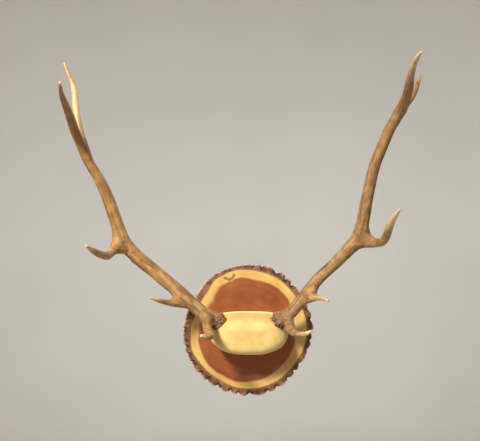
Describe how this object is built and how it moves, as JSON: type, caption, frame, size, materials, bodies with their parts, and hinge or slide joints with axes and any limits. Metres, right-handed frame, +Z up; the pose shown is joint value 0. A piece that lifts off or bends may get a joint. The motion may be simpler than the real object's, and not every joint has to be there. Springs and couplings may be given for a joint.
{
  "type": "elk antler mount",
  "caption": "Branched elk antlers rising from a leather-like skull cap cover on a round log slice with lumpy bark, hung flat against a wall.",
  "frame": {"origin": "middle of the log slice's flat back face, on the wall", "axes": "+Z up as it hangs, +X to the right as seen from the front, +Y into the wall, so the front faces -Y"},
  "size_m": [0.9282, 0.4515, 0.8758],
  "materials": {
    "wood": "sanded and sealed cut face with raw bark on the rim",
    "cover": "smooth pale hide-like cover, satin",
    "antler": "matt brown antler, paler and polished at the tips"
  },
  "bodies": {
    "root": {"log_slice": "wood", "skull_cover": "cover", "left_main_beam": "antler", "left_upper_beam": "antler", "left_beam_tip": "antler", "left_brow_tine": "antler", "left_bez_tine": "antler", "left_trez_tine": "antler", "left_royal_tine": "antler", "right_main_beam": "antler", "right_upper_beam": "antler", "right_beam_tip": "antler", "right_brow_tine": "antler", "right_bez_tine": "antler", "right_trez_tine": "antler", "right_royal_tine": "antler"}
  },
  "joints": []
}
